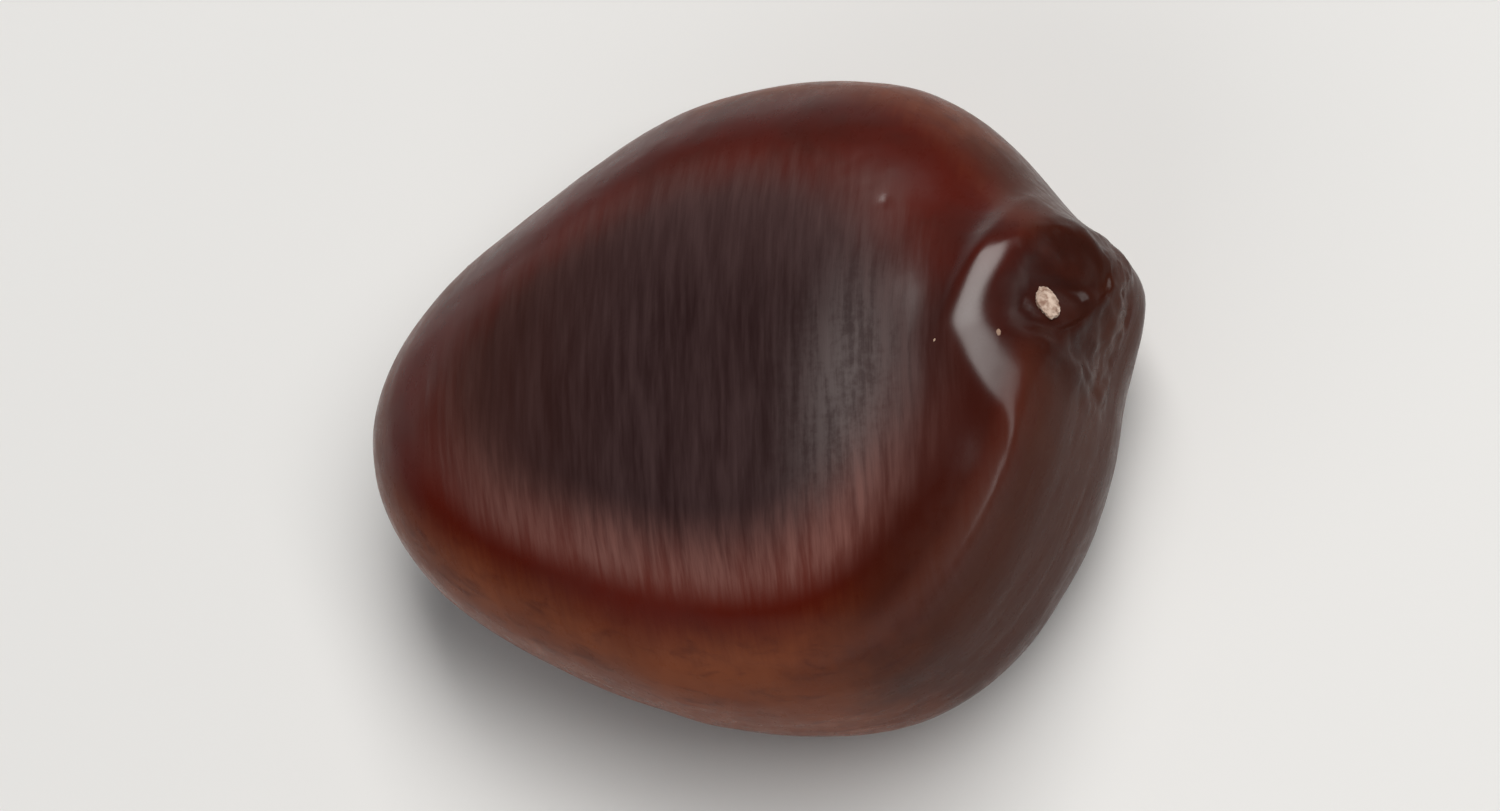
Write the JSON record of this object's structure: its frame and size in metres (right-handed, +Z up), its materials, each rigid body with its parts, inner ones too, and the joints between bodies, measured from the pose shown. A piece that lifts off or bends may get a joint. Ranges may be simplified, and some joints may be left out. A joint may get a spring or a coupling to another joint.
{
  "type": "tamarind seed",
  "caption": "Flattened, rounded seed with a glossy red-brown coat, a dull panel on each broad face and a beak beside the hilum.",
  "frame": {"origin": "middle of the box's base, on the small flat spot that the seed rests on", "axes": "+X along the seed's length towards the hilum, +Y across it, +Z up through the broad faces"},
  "size_m": [0.015, 0.0126, 0.0064],
  "materials": {
    "seed_coat": "smooth hard seed coat, glossy red-brown on the rim and dull grey-brown with fine lines on the panels"
  },
  "bodies": {
    "root": {"tamarind_seed": "seed_coat"}
  },
  "joints": []
}
